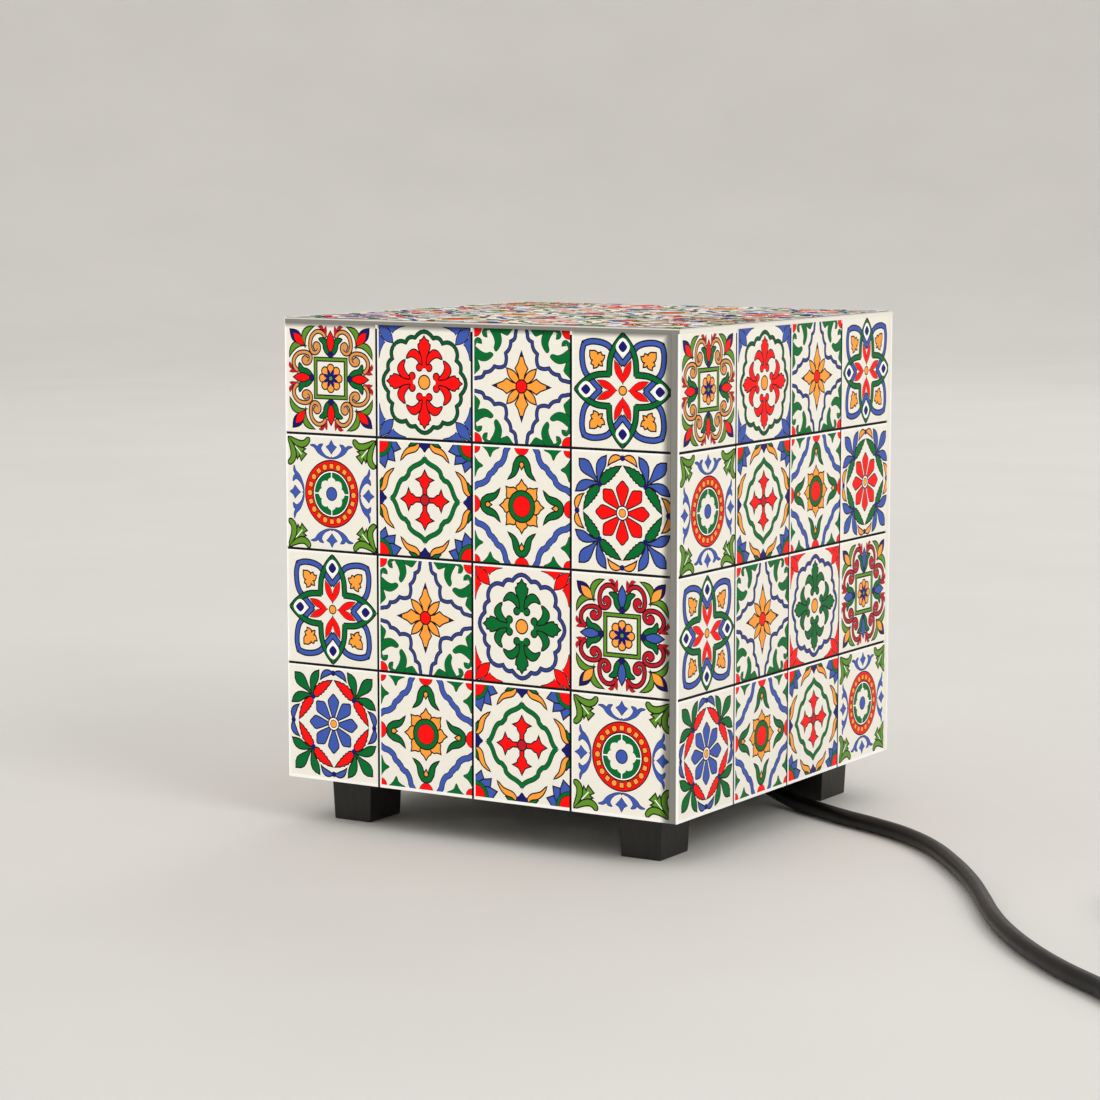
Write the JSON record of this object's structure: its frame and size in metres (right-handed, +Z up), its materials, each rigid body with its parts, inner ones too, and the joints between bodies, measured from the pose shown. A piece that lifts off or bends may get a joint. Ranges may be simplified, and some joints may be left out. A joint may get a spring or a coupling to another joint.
{
  "type": "table lamp",
  "caption": "Cube table lamp: printed tile-pattern glass faces over a lit opal cube that lifts off a black board on short block feet, with mains cord, inline rocker switch and plug.",
  "frame": {"origin": "on the standing surface, under the middle of the cube", "axes": "+Z up; -Y is the front face; +X is the side that the cord leaves on"},
  "size_m": [0.5024, 0.313, 0.226],
  "materials": {
    "opal_glass": "opal white glass, lit from inside",
    "tile_glass": "printed tile pattern under a clear gloss glaze, lit from inside",
    "black_board": "matt black paint",
    "black_wood": "satin black stain",
    "zinc_steel": "zinc plated",
    "white_plastic": "heat-proof moulded plastic",
    "brass": "plain",
    "black_insulator": "black cap glass",
    "frosted_glass": "frosted, lit",
    "black_plastic": "fine moulded texture",
    "black_rubber": "satin",
    "cord_sheath": "smooth PVC sheath",
    "tie_strap": "ribbed strap",
    "lead_brown": "wire insulation",
    "lead_blue": "wire insulation"
  },
  "bodies": {
    "base": {"base_board": "black_board", "foot_front_left": "black_wood", "foot_front_right": "black_wood", "foot_back_left": "black_wood", "foot_back_right": "black_wood", "foot_screw_front_left": "zinc_steel", "foot_screw_front_right": "zinc_steel", "foot_screw_back_left": "zinc_steel", "foot_screw_back_right": "zinc_steel", "holder_screw_left": "zinc_steel", "holder_screw_right": "zinc_steel", "outlet_screw_front": "zinc_steel", "outlet_screw_back": "zinc_steel", "holder_flange": "white_plastic", "holder_body": "white_plastic", "holder_shell": "brass", "holder_contact": "brass", "plug_pin_left": "brass", "plug_pin_right": "brass", "cord_outlet": "black_plastic", "switch_case_lower": "black_plastic", "switch_case_upper": "black_plastic", "plug_body": "black_plastic", "strain_relief": "black_rubber", "cord_run": "cord_sheath", "cord_coil": "cord_sheath", "cord_tail": "cord_sheath", "cord_tie": "tie_strap", "lead_live": "lead_brown", "lead_neutral": "lead_blue"},
    "shade": {"panel_front": "opal_glass", "panel_right": "opal_glass", "panel_back": "opal_glass", "panel_left": "opal_glass", "panel_top": "opal_glass", "tile_sheet_front": "tile_glass", "tile_sheet_right": "tile_glass", "tile_sheet_back": "tile_glass", "tile_sheet_left": "tile_glass", "tile_sheet_top": "tile_glass", "corner_post_front_left": "opal_glass", "corner_post_front_right": "opal_glass", "corner_post_back_left": "opal_glass", "corner_post_back_right": "opal_glass"},
    "bulb_core": {"bulb_contact": "brass", "bulb_insulator": "black_insulator"},
    "bulb": {"bulb_cap": "zinc_steel", "bulb_collar": "white_plastic", "bulb_globe": "frosted_glass"},
    "rocker": {"switch_rocker": "black_plastic"}
  },
  "joints": [
    {"name": "shade_lift", "type": "slide", "parent": "base", "child": "shade", "axis": [0, 0, 1], "range_m": [0, 0.15]},
    {"name": "bulb_rise", "type": "slide", "parent": "base", "child": "bulb_core", "axis": [0, 0, 1], "range_m": [0, 0.0245]},
    {"name": "bulb_turn", "type": "hinge", "parent": "bulb_core", "child": "bulb", "pos_m": [0, 0, 0.07], "axis": [0, 0, 1], "range_deg": [0, 2340]},
    {"name": "rocker_tilt", "type": "hinge", "parent": "base", "child": "rocker", "pos_m": [0.3847, -0.144, 0.0146], "axis": [-1, 0, 0], "range_deg": [0, 14]}
  ],
  "couplings": [
    {"joint": "bulb_rise", "follows": "bulb_turn", "m_per_rad": 0.00057774}
  ]
}
